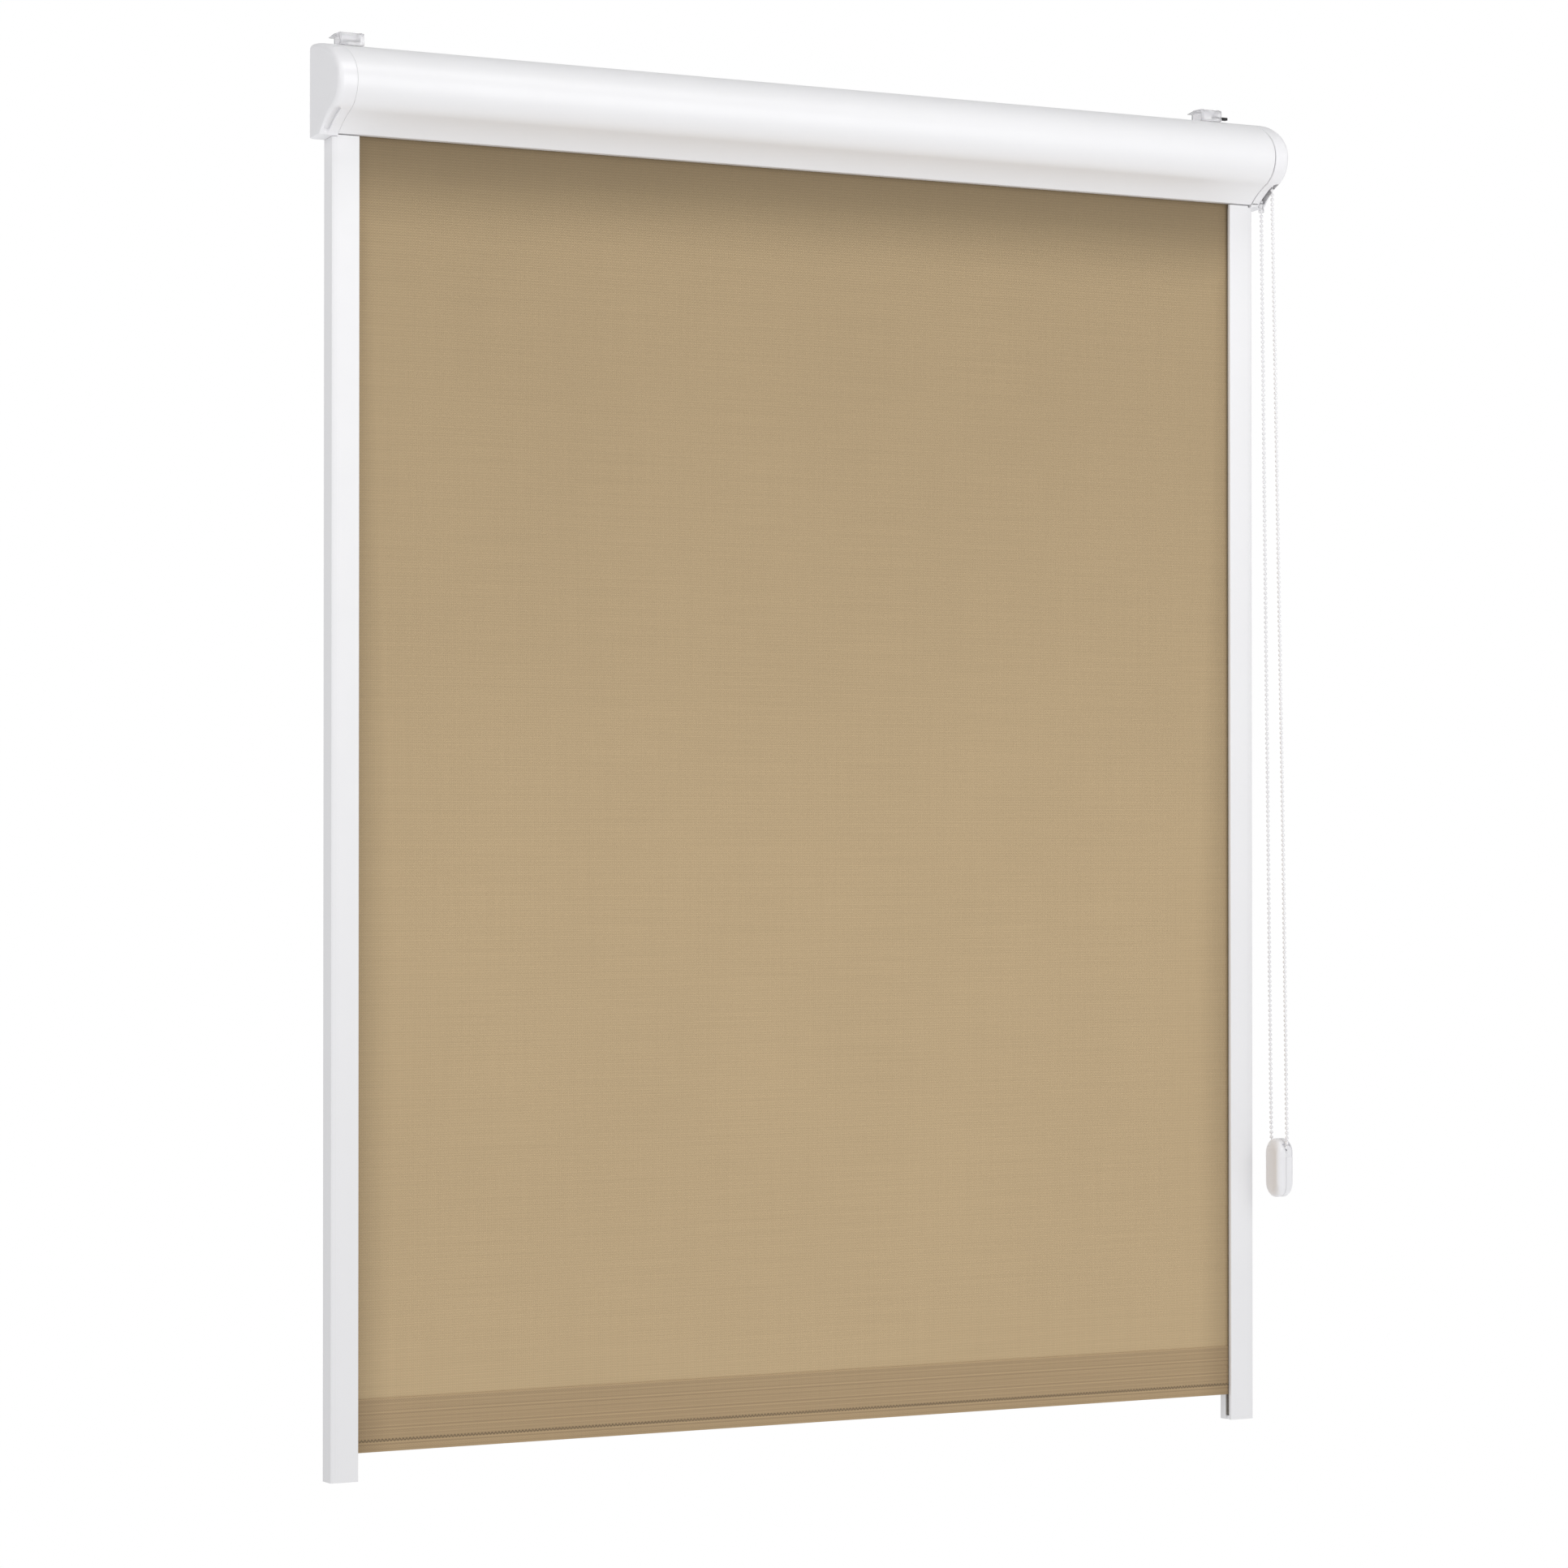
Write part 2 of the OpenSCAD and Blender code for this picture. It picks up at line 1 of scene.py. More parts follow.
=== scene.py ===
"""Looks of the cassette roller blind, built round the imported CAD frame.

Lengths are millimetres until a mesh is made, apart from the camera, lights, floor and materials,
which are in metres like the frame. Cross-sections are lists of (depth, height), and depth is the
distance from the wall, along -Y.
"""
import bpy
import bmesh
import json
import math
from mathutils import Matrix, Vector


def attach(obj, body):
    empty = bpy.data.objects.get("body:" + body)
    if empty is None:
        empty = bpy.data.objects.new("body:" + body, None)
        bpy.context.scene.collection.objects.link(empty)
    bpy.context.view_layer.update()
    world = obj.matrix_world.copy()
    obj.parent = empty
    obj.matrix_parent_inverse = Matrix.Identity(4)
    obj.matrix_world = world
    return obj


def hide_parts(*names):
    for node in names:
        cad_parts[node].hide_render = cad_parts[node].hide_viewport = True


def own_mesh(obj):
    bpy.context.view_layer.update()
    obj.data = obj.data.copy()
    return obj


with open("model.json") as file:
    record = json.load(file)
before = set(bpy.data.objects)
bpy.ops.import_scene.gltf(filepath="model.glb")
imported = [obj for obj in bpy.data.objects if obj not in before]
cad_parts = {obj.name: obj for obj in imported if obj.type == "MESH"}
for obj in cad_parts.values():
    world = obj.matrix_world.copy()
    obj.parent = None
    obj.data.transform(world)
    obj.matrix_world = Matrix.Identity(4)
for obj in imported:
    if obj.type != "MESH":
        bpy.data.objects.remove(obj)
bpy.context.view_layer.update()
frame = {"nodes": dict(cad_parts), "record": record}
scene = bpy.context.scene
MM = 0.001
HANDS = {-1: "left", 1: "right"}

# ---- sizes -----------------------------------------------------------------------------------

# cassette: from its middle to the outside of a cap, and to the seam between cap and cover
HALF_W = 480
SEAM_X = 463
# its outline: an elliptic crown, a round nose and a hollow slope back to the lip
FRONT_D, CROWN_Z, CROWN_H = 60, 3, 36
NOSE_R, NOSE_TURN = 27, 66
NOSE_D = FRONT_D - NOSE_R
SLOPE_R, SLOPE_TURN = 80, 20
SLOPE_START = 180 - NOSE_TURN
SLOPE_C = (NOSE_D + (NOSE_R + SLOPE_R) * math.cos(math.radians(NOSE_TURN)),
           CROWN_Z - (NOSE_R + SLOPE_R) * math.sin(math.radians(NOSE_TURN)))
BACK_BOTTOM_Z = -41
LIP_D, LIP_Z = 19.5, -39
COVER_T, CAP_T, CAP_ROUND = 1.5, 2, 5
# the cover hooks over the back at its top edge, and its lip turns in to a round edge
HOOK_D, HOOK_Z = 3.2, 33.4
COVER_EDGE_D, COVER_LIP_Z = 13.0, -37.2
# roller and cloth
AXIS_D, AXIS_Z = 29, 2
ROLL_R, TUBE_R, ROLL_TURNS = 17.5, 16, 2.9
SHEET_D, FABRIC_T, FABRIC_HALF = 10.9, 0.5, 449
FEED_Z, FEED_ANGLE, FEED_LEN = -36.45, 39.65, 38.5
HEM_TOP, HEM_BOTTOM, HEM_T = -1096, -1141, 2.2
# rails: the cover reaches up to RAIL_HEAD, and the cloth runs in the slot between its two depths
RAIL_IN, RAIL_OUT, RAIL_D, RAIL_T = 442, 467, 17, 1.4
RAIL_TOP, RAIL_HEAD, RAIL_FOOT = -41.4, -37.9, -1164
RAIL_SLOT_BACK, RAIL_SLOT_FRONT = 8.2, 13.6
# brackets: the middle of each and half their width
BRACKET_X = {-1: -452, 1: 417}
BRACKET_HALF_W = 11
# chain, its slot in the caps, and its weight with the channel that it turns in
CHAIN_X, BEAD_R, BEAD_PITCH = 475, 1.7, 4.5
WHEEL_R = 8.594
SLOT_W, SLOT_FROM, SLOT_TO = 6.2, 17.6, 44.6
WEIGHT_D, WEIGHT_Z, WEIGHT_R, WEIGHT_HALF_T, WEIGHT_HALF_H = 47.5, -930, 11.4, 9.2, 27
CHANNEL_Z, CHANNEL_TURN_R, CHANNEL_R = -906, 12, 1.88
# the free loop as (depth, height), from the front of the slot round the weight to its back
CHAIN_ROUTE = [
    (37.6, -16), (37.8, -22), (38.2, -40), (40, -100), (42, -170), (46, -320), (50, -470), (54, -620),
    (57, -770), (59.2, -880), (59.5, -896), (59.5, -906), (57.9, -912), (53.5, -916.4), (47.5, -918),
    (41.5, -916.4), (37.1, -912), (35.5, -906), (34.9, -896), (34.6, -880), (32.6, -760), (30.1, -610),
    (27.6, -460), (25.1, -310), (22.6, -160), (21.6, -100), (20.6, -40), (20.4, -22), (20.4, -16)]

# ---- camera, light and stage -----------------------------------------------------------------

CAMERA_AT = (-2.1346, -3.7287, -0.6299)
CAMERA_TILT, CAMERA_HEADING = 90.69, -29.515
LENS, SENSOR_W = 111.5, 36
DOME_BELOW, DOME_ABOVE = 0.97, 0.36
FLOOR_Z, FLOOR_R = -1.3, 9
# name, place, what it faces, width, height and power
SOFTBOXES = [
    ("key", (0.6, -2.4, 0.2), (0.1, 0.0, -0.35), 1.6, 1.6, 16.5),
    ("top", (0.0, -1.0, 1.8), (0.0, 0.0, -0.1), 1.8, 0.9, 12),
    ("left_fill", (-2.2, -0.8, 0.8), (-0.46, 0.0, -0.1), 1.0, 1.0, 6.5),
]


def add_camera():
    data = bpy.data.cameras.new("camera")
    data.lens, data.sensor_width = LENS, SENSOR_W
    data.clip_start, data.clip_end = 0.1, 100
    camera = bpy.data.objects.new("camera", data)
    camera.location = CAMERA_AT
    camera.rotation_euler = (math.radians(CAMERA_TILT), 0, math.radians(CAMERA_HEADING))
    scene.collection.objects.link(camera)
    scene.camera = camera


def add_world():
    """Soft dome, brighter from below; what lies behind the object is seen as white."""
    world = bpy.data.worlds.new("studio")
    world.use_nodes = True
    tree = world.node_tree
    tree.nodes.clear()
    seen = tree.nodes.new("ShaderNodeBackground")
    seen.inputs["Color"].default_value = (1, 1, 1, 1)
    light = tree.nodes.new("ShaderNodeBackground")
    light.inputs["Color"].default_value = (0.985, 0.99, 1, 1)
    way = tree.nodes.new("ShaderNodeTexCoord")
    split = tree.nodes.new("ShaderNodeSeparateXYZ")
    level = tree.nodes.new("ShaderNodeMapRange")
    level.inputs["From Min"].default_value = -1
    level.inputs["From Max"].default_value = 1
    level.inputs["To Min"].default_value = DOME_BELOW
    level.inputs["To Max"].default_value = DOME_ABOVE
    tree.links.new(way.outputs["Generated"], split.inputs[0])
    tree.links.new(split.outputs["Z"], level.inputs["Value"])
    tree.links.new(level.outputs[0], light.inputs["Strength"])
    path = tree.nodes.new("ShaderNodeLightPath")
    either = tree.nodes.new("ShaderNodeMath")
    either.operation = "MAXIMUM"
    tree.links.new(path.outputs["Is Camera Ray"], either.inputs[0])
    tree.links.new(path.outputs["Is Transmission Ray"], either.inputs[1])
    mix = tree.nodes.new("ShaderNodeMixShader")
    out = tree.nodes.new("ShaderNodeOutputWorld")
    tree.links.new(either.outputs[0], mix.inputs["Fac"])
    tree.links.new(light.outputs[0], mix.inputs[1])
    tree.links.new(seen.outputs[0], mix.inputs[2])
    tree.links.new(mix.outputs[0], out.inputs["Surface"])
    scene.world = world
    scene.view_settings.view_transform = "Standard"


def add_softbox(name, place, target, width, height, power):
    data = bpy.data.lights.new(name, "AREA")
    data.shape = "RECTANGLE"
    data.size, data.size_y, data.energy = width, height, power
    light = bpy.data.objects.new(name, data)
    light.location = place
    light.rotation_euler = (Vector(target) - Vector(place)).to_track_quat("-Z", "Y").to_euler()
    light.visible_camera = False
    scene.collection.objects.link(light)


def add_floor():
    """Plain pale floor under the blind, seen but left out of its lighting."""
    sides = 96
    turn = [2 * math.pi * k / sides for k in range(sides)]
    rim = [(FLOOR_R * math.cos(w), FLOOR_R * math.sin(w), FLOOR_Z) for w in turn]
    mesh = bpy.data.meshes.new("floor")
    mesh.from_pydata(rim, [], [tuple(range(sides))])
    floor = bpy.data.objects.new("floor", mesh)
    pale = bpy.data.materials.new("pale_floor")
    pale.use_nodes = True
    bsdf = pale.node_tree.nodes["Principled BSDF"]
    bsdf.inputs["Base Color"].default_value = (0, 0, 0, 1)
    bsdf.inputs["Specular IOR Level"].default_value = 0
    bsdf.inputs["Emission Color"].default_value = (1, 1, 1, 1)
    bsdf.inputs["Emission Strength"].default_value = 1
    mesh.materials.append(pale)
    floor.visible_diffuse = floor.visible_glossy = floor.visible_shadow = False
    scene.collection.objects.link(floor)


add_camera()
add_world()
add_floor()
for softbox in SOFTBOXES:
    add_softbox(*softbox)

# ---- mesh helpers ----------------------------------------------------------------------------


def point(x, d, z):
    """Place in the frame, in metres, of a depth and height at x."""
    return (x * MM, -d * MM, z * MM)


def new_object(name, verts, faces, angle=35):
    """Piece of a closed mesh, with doubles merged and normals out; edges over angle are sharp."""
    mesh = bpy.data.meshes.new(name)
    mesh.from_pydata(verts, [], faces)
    made = bmesh.new()
    made.from_mesh(mesh)
    bmesh.ops.remove_doubles(made, verts=made.verts, dist=1e-7)
    bmesh.ops.recalc_face_normals(made, faces=made.faces)
    made.to_mesh(mesh)
    made.free()
    obj = bpy.data.objects.new(name, mesh)
    scene.collection.objects.link(obj)
    smooth(obj, angle)
    return obj


def smooth(obj, angle=35):
    obj.data.shade_smooth()
    obj.data.set_sharp_from_angle(angle=math.radians(angle))


def arc(c, rd, rz, a0, a1, n):
    """n + 1 points of an ellipse about c, from a0 to a1 degrees."""
    turn = [math.radians(a0 + (a1 - a0) * i / max(n, 1)) for i in range(n + 1)]
    return [(c[0] + rd * math.cos(a), c[1] + rz * math.sin(a)) for a in turn]


def rounded(loop, radius, steps=5, only=None):
    """Closed loop with its corners rounded, or just the corners that only lists."""
    out, n = [], len(loop)
    for i, p in enumerate(loop):
        if only is not None and i not in only:
            out.append(p)
            continue
        here, back, ahead = Vector(p), Vector(loop[i - 1]), Vector(loop[(i + 1) % n])
        u, v = (back - here).normalized(), (ahead - here).normalized()
        half = math.acos(max(-1, min(1, u.dot(v)))) / 2
        room = min((back - here).length, (ahead - here).length) * 0.48
        reach = min(radius / max(math.tan(half), 0.05), room)
        a, b = here + u * reach, here + v * reach
        for k in range(steps + 1):
            t = k / steps
            q = a * (1 - t) ** 2 + here * (2 * t * (1 - t)) + b * t * t
            out.append((q.x, q.y))
    return out


def box_loop(a0, a1, b0, b1):
    return [(a0, b0), (a1, b0), (a1, b1), (a0, b1)]


def bar(name, loop, start, end, upright=False, edge=0.0, angle=35, cuts=1):
    """Solid bar: a closed (depth, height) loop along X, or an (x, depth) loop along Z when upright.

    Its ends are bevelled by edge, and it is divided lengthwise into cuts.
    """
    mid = (sum(p[0] for p in loop) / len(loop), sum(p[1] for p in loop) / len(loop))

    def ring(at, shrink):
        pts = []
        for a, b in loop:
            if shrink:
                away = Vector((a - mid[0], b - mid[1])).normalized()
                a, b = a - shrink * away.x, b - shrink * away.y
            pts.append(point(a, b, at) if upright else point(at, a, b))
        return pts

    levels = [(start, edge), (start + edge, 0)] if edge else [(start, 0)]
    levels += [(start + edge + (end - start - 2 * edge) * i / cuts, 0) for i in range(1, cuts)]
    levels += [(end - edge, 0), (end, edge)] if edge else [(end, 0)]
    return loft(name, [ring(at, s) for at, s in levels], angle)


def loft(name, rings, angle=35, close=True):
    """Skin over rings of equally many points, with end faces when close."""
    n = len(rings[0])
    verts = [v for r in rings for v in r]
    faces = []
    for i in range(len(rings) - 1):
        for k in range(n):
            k2 = (k + 1) % n
            faces.append((i * n + k, i * n + k2, (i + 1) * n + k2, (i + 1) * n + k))
    if close:
        faces.append(tuple(range(n - 1, -1, -1)))
        faces.append(tuple(range((len(rings) - 1) * n, len(rings) * n)))
    return new_object(name, verts, faces, angle)


def sweep(name, path, radii, sides, closed=False, angle=60):
    """Round tube along points in metres, with a radius in metres at each of them."""
    n, rings = len(path), []
    side = None
    for i, p in enumerate(path):
        a = path[i - 1] if i or closed else path[0]
        b = path[(i + 1) % n] if i < n - 1 or closed else path[-1]
        t = (Vector(b) - Vector(a)).normalized()
        if side is None:
            side = t.orthogonal().normalized()
        side = (side - t * side.dot(t)).normalized()
        up = t.cross(side)
        rings.append([tuple(Vector(p) + (side * math.cos(w) + up * math.sin(w)) * radii[i])
                      for w in (2 * math.pi * k / sides for k in range(sides))])
    if closed:
        rings.append(rings[0])
    return loft(name, rings, angle, close=not closed)


def rod(name, start, end, r, sides):
    """Straight round bar between two (x, depth, height) places."""
    return sweep(name, [Vector(point(*start)), Vector(point(*end))], [r * MM] * 2, sides)


def revolve(name, profile, centre, tilt=0.0, sides=32, angle=40):
    """Closed (radius, height) loop turned about a vertical axis, tilted about X, in millimetres."""
    rings = []
    for k in range(sides):
        w = 2 * math.pi * k / sides
        ring = []
        for r, h in profile:
            x, y = r * math.cos(w), r * math.sin(w)
            y, z = y * math.cos(tilt) - h * math.sin(tilt), y * math.sin(tilt) + h * math.cos(tilt)
            ring.append(tuple((Vector((x, y, z)) + Vector(centre)) * MM))
        rings.append(ring)
    rings.append(rings[0])
    return loft(name, rings, angle, close=False)


def settle(obj, angle=35):
    """Applies obj's modifiers, so that the mesh is final."""
    depsgraph = bpy.context.evaluated_depsgraph_get()
    mesh = bpy.data.meshes.new_from_object(obj.evaluated_get(depsgraph))
    obj.modifiers.clear()
    obj.data = mesh
    smooth(obj, angle)


def carve(target, tool, operation="DIFFERENCE", angle=35):
    """Cuts tool out of target, or adds it with UNION, and removes tool."""
    made = target.modifiers.new("cut", "BOOLEAN")
    made.object, made.operation, made.solver = tool, operation, "EXACT"
    bpy.context.view_layer.update()
    settle(target, angle)
    bpy.data.objects.remove(tool)


def join(target, *others):
    """Adds the meshes of others to target and removes them."""
    made = bmesh.new()
    made.from_mesh(target.data)
    for other in others:
        made.from_mesh(other.data)
        bpy.data.objects.remove(other)
    made.to_mesh(target.data)
    made.free()
    smooth(target)
    return target


# ---- materials -------------------------------------------------------------------------------

# thread pitches of the screen weave and of the cords in the hem
WARP_PITCH, WEFT_PITCH, CORD_PITCH, HEM_BAND = 0.0013, 0.00115, 0.0036, 0.0125
# heights between which the weave shows more, between which painted shadow darkens the cloth under the
# cassette and painted shade its upper part, and between which the cloth grows paler towards its foot
WEAVE_SHOWS, LIP_SHADOW, UPPER_SHADE, FOOT_PALER = (-0.24, -0.05), (-0.125, -0.036), (-0.75, -0.1), (-0.1, -1.15)
# distances from the middle between which painted shade darkens the cloth beside the rails
RAIL_SHADE = (0.405, 0.443)
PAINT_WHITE, PLASTIC_WHITE = (0.9, 0.895, 0.905), (0.915, 0.908, 0.925)
# the hem's tan is a darker copy of the cloth's: painted shade, as its doubled cloth lets less light through
TAN, SHADED_HEM_TAN = (0.505, 0.375, 0.218), (0.398, 0.285, 0.164)


class Shader:
    """A material's node tree, with short calls for the nodes that the patterns use."""

    def __init__(self, name):
        self.material = bpy.data.materials.new(name)
        self.material.use_nodes = True
        self.tree = self.material.node_tree
        self.bsdf = self.tree.nodes["Principled BSDF"]
        self.place = self.tree.nodes.new("ShaderNodeTexCoord").outputs["Object"]

    def put(self, kind, **settings):
        made = self.tree.nodes.new(kind)
        for key, value in settings.items():
            setattr(made, key, value)
        return made

    def feed(self, socket, value):
        if hasattr(value, "links"):
            self.tree.links.new(value, socket)
        else:
            socket.default_value = value

    def set(self, **values):
        for key, value in values.items():
            self.feed(self.bsdf.inputs[key.replace("_", " ")], value)

    def math(self, operation, *values):
        made = self.put("ShaderNodeMath", operation=operation)
        for socket, value in zip(made.inputs, values):
            self.feed(socket, value)
        return made.outputs[0]

    def noise(self, scale, detail=3.0, stretch=None, rough=0.5):
        made = self.put("ShaderNodeTexNoise")
        source = self.place
        if stretch:
            turned = self.put("ShaderNodeMapping")
            self.feed(turned.inputs["Vector"], source)
            turned.inputs["Scale"].default_value = stretch
            source = turned.outputs[0]
        self.feed(made.inputs["Vector"], source)
        made.inputs["Scale"].default_value = scale
        made.inputs["Detail"].default_value = detail
        made.inputs["Roughness"].default_value = rough
        return made.outputs["Fac"]

    def span(self, value, a0, a1, b0, b1, smooth_step=False):
        made = self.put("ShaderNodeMapRange")
        if smooth_step:
            made.interpolation_type = "SMOOTHSTEP"
        for socket, v in zip(made.inputs, (value, a0, a1, b0, b1)):
            self.feed(socket, v)
        return made.outputs[0]

    def mix(self, factor, a, b):
        made = self.put("ShaderNodeMix", data_type="RGBA")
        self.feed(made.inputs[0], factor)
        self.feed(made.inputs[6], a)
        self.feed(made.inputs[7], b)
        return made.outputs[2]

    def bump(self, height, distance, strength=1.0):
        made = self.put("ShaderNodeBump")
        made.inputs["Distance"].default_value = distance
        made.inputs["Strength"].default_value = strength
        self.feed(made.inputs["Height"], height)
        return made.outputs[0]

    def axes(self):
        made = self.put("ShaderNodeSeparateXYZ")
        self.feed(made.inputs[0], self.place)
        return made.outputs


def shade(colour, factor):
    return tuple(c * factor for c in colour[:3]) + (1,)


def surface(name, colour, rough, grain, depth, stretch=None, mottle=0.04, wear=0.05, **fixed):
    """Painted, moulded or extruded surface: grain in the bump, soft unevenness in colour and roughness.

    No material's roughness crosses 0.27, where a denoised picture shows contour lines.
    """
    s = Shader(name)
    s.set(Normal=s.bump(s.noise(grain, 4, stretch), depth))
    patch = s.span(s.noise(14, 3, rough=0.6), 0.2, 0.8, 0, 1, True)
    s.set(Base_Color=s.mix(patch, shade(colour, 1 - mottle), shade(colour, 1)))
    s.set(Roughness=s.span(s.noise(45, 2), 0.2, 0.8, rough - wear, rough + wear, True))
    s.set(**fixed)
    return s.material


def woven(name, colour, relief, band=0.0):
    """Screen weave: threads over and under, dark pores between them, slubs along the weft."""
    s = Shader(name)
    x, y, z = s.axes()
    warp = s.math("SINE", s.math("MULTIPLY", x, math.pi / WARP_PITCH))
    weft = s.math("SINE", s.math("MULTIPLY", z, math.pi / WEFT_PITCH))
    over = s.math("MULTIPLY", warp, weft)
    gap = s.math("MULTIPLY", s.math("SUBTRACT", 1, s.math("ABSOLUTE", warp)),
                 s.math("SUBTRACT", 1, s.math("ABSOLUTE", weft)))
    # the weave shows most just under the cassette
    near_top = s.span(z, *WEAVE_SHOWS, 0, 1, True)
    strength = s.math("ADD", relief, s.math("MULTIPLY", near_top, 0.34))
    if band:
        rows = s.math("SINE", s.math("MULTIPLY", z, 2 * math.pi / band))
        strength = s.math("MULTIPLY", strength, s.span(rows, -1, 1, 0.4, 1.5))
    rib = s.math("ADD", s.math("MULTIPLY", over, 0.55), s.math("MULTIPLY", weft, 0.45))
    if band:
        cords = s.math("SINE", s.math("MULTIPLY", z, 2 * math.pi / CORD_PITCH))
        rib = s.math("ADD", rib, s.math("MULTIPLY", cords, 0.6))
    tone = s.math("MULTIPLY", rib, strength)
    slubs = [(s.noise(1, 3, (8, 8, 520)), 0.16), (s.noise(1, 3, (420, 8, 8)), 0.09), (s.noise(5, 3), 0.10)]
    for noise, share in slubs:
        tone = s.math("ADD", tone, s.math("MULTIPLY", s.span(noise, 0.3, 0.7, -0.5, 0.5), share))
    plain = s.mix(s.span(tone, -0.5, 0.5, 0, 1), shade(colour, 0.84), shade(colour, 1.16))
    pores = s.mix(s.math("MULTIPLY", gap, 0.55), plain, shade(colour, 0.4))
    # painted shade: the cloth is darkened beside the rails, and under the cassette by a painted shadow
    edge = s.span(s.math("ABSOLUTE", x), *RAIL_SHADE, 0, 0.28, True)
    under = s.math("ADD", s.span(z, *LIP_SHADOW, 0, 0.5, True), s.span(z, *UPPER_SHADE, 0, 0.17, True))
    painted_shade = s.mix(s.math("MAXIMUM", edge, under), pores, shade(colour, 0.3))
    # and a little paler towards its foot
    lighter_foot = s.put("ShaderNodeVectorMath", operation="SCALE")
    s.feed(lighter_foot.inputs["Vector"], painted_shade)
    s.feed(lighter_foot.inputs["Scale"], s.span(z, *FOOT_PALER, 1.0, 1.14))
    s.set(Base_Color=lighter_foot.outputs[0])
    height = s.math("ADD", s.span(over, -1, 1, 0, 1), s.math("MULTIPLY", gap, -0.8))
    s.set(Normal=s.bump(height, 0.00012, 0.7), Roughness=0.85, Specular_IOR_Level=0.25)
    s.set(Sheen_Weight=0.05, Sheen_Roughness=0.5)
    return s.material


def clear(name):
    """Clear moulded plastic, a little clouded, with flow marks that bend the light."""
    s = Shader(name)
    s.set(Normal=s.bump(s.noise(110, 2), 0.00005))
    cloud = s.span(s.noise(60, 3), 0.3, 0.7, 0, 1)
    s.set(Base_Color=s.mix(cloud, (0.92, 0.915, 0.935, 1), (0.98, 0.975, 0.99, 1)))
    s.set(Roughness=s.span(s.noise(90, 3), 0.3, 0.7, 0.10, 0.2))
    s.set(Transmission_Weight=0.68, IOR=1.45)
    return s.material


MATERIALS = {
    "white_aluminium": surface("white_aluminium", PAINT_WHITE, 0.36, 2600, 0.00003, mottle=0.012),
    "white_plastic": surface("white_plastic", PLASTIC_WHITE, 0.32, 380, 0.000012, mottle=0.015, wear=0.03,
                             Coat_Weight=0.3, Coat_Roughness=0.2, Subsurface_Weight=0.3,
                             Subsurface_Radius=(1, 1, 1), Subsurface_Scale=0.002),
    "clear_plastic": clear("clear_plastic"),
    "mill_aluminium": surface("mill_aluminium", (0.78, 0.785, 0.79), 0.33, 60, 0.00002,
                              stretch=(0.05, 30, 30), mottle=0.08, Metallic=1.0),
    "grey_plastic": surface("grey_plastic", (0.42, 0.43, 0.44), 0.5, 1500, 0.00003, mottle=0.06),
    "steel": surface("steel", (0.66, 0.66, 0.65), 0.2, 90, 0.00001, stretch=(0.1, 14, 14),
                     mottle=0.1, Metallic=1.0),
    "black_steel": surface("black_steel", (0.012, 0.012, 0.013), 0.38, 1800, 0.00002, mottle=0.2),
    "fabric": woven("fabric", TAN, 0.2),
    # the hem's darker colour is painted shade of its doubled cloth
    "hem_fabric": woven("hem_fabric", SHADED_HEM_TAN, 0.42, band=HEM_BAND),
    "pile": surface("pile", (0.36, 0.33, 0.29), 0.9, 2200, 0.0002, mottle=0.2, Sheen_Weight=0.5),
    "thread": surface("thread", (0.16, 0.118, 0.066), 0.7, 5000, 0.00005, mottle=0.25, Sheen_Weight=0.2),
}


def finish_piece(obj, body, slot, *nodes, material=None):
    """Gives a piece the material of its slot, or material when given, sets it on the body it rides on and
    hides the nodes it stands for.
    """
    obj.data.materials.clear()
    obj.data.materials.append(MATERIALS[material or slot])
    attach(obj, body)
    if nodes:
        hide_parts(*nodes)
    return obj


# ---- chain -----------------------------------------------------------------------------------


def walk(points, step):
    """Points every step along a line of Vectors."""
    out, left = [points[0]], step
    for a, b in zip(points, points[1:]):
        gap = (b - a).length
        at = left
        while at <= gap:
            out.append(a.lerp(b, at / gap))
            at += step
        left = at - gap
    return out


def curved(points, per_span=8):
    """Smooth line through unevenly spaced points, with the same direction on both sides of each."""
    ends = [points[0]] + points + [points[-1]]
    aim = [(c - a).normalized() for a, c in zip(ends, ends[2:])]
    out = []
    for a, b, u, v in zip(points, points[1:], aim, aim[1:]):
        reach = (b - a).length
        for k in range(per_span):
            t = k / per_span
            out.append(a * (2 * t ** 3 - 3 * t * t + 1) + b * (3 * t * t - 2 * t ** 3)
                       + (u * (t ** 3 - 2 * t * t + t) + v * (t ** 3 - t * t)) * reach)
    return out + [points[-1]]


# one bead and the string up to the next: place along the pitch, radius
BEAD = [(-1.62, 0.52), (-1.42, 0.94), (-1.05, 1.34), (-0.55, 1.61), (0, 1.7), (0.55, 1.61), (1.05, 1.34),
        (1.42, 0.94), (1.62, 0.52), (1.78, 0.42), (2.72, 0.42)]


def bead_chain(name, line, sides=12):
    """Beads on a string along a line of Vectors."""
    places, radii = [], []
    beads = walk(line, BEAD_PITCH * MM)
    for a, b in zip(beads, beads[1:]):
        t = (b - a).normalized()
        for at, r in BEAD:
            places.append(a + t * at * MM)
            radii.append(r * MM)
    return sweep(name, places, radii, sides, angle=50)


route = curved([Vector(point(CHAIN_X, d, z)) for d, z in CHAIN_ROUTE])
chain = finish_piece(bead_chain("bead_chain", route), "chain", "white_plastic", "chain_loop")


def chain_over_wheel():
    """The turn over the wheel, with a straight strand down from each side of it."""
    front, back = AXIS_D + WHEEL_R, AXIS_D - WHEEL_R
    arch = [(front, -14.4), (front, -8)] + arc((AXIS_D, AXIS_Z), WHEEL_R, WHEEL_R, 0, 180, 24)
    arch += [(back, -8), (back, -14.4)]
    line = [Vector(point(CHAIN_X, d, z)) for d, z in arch]
    return finish_piece(bead_chain("chain_on_wheel_beads", line), "root", "white_plastic", "chain_on_wheel")


chain_over_wheel()


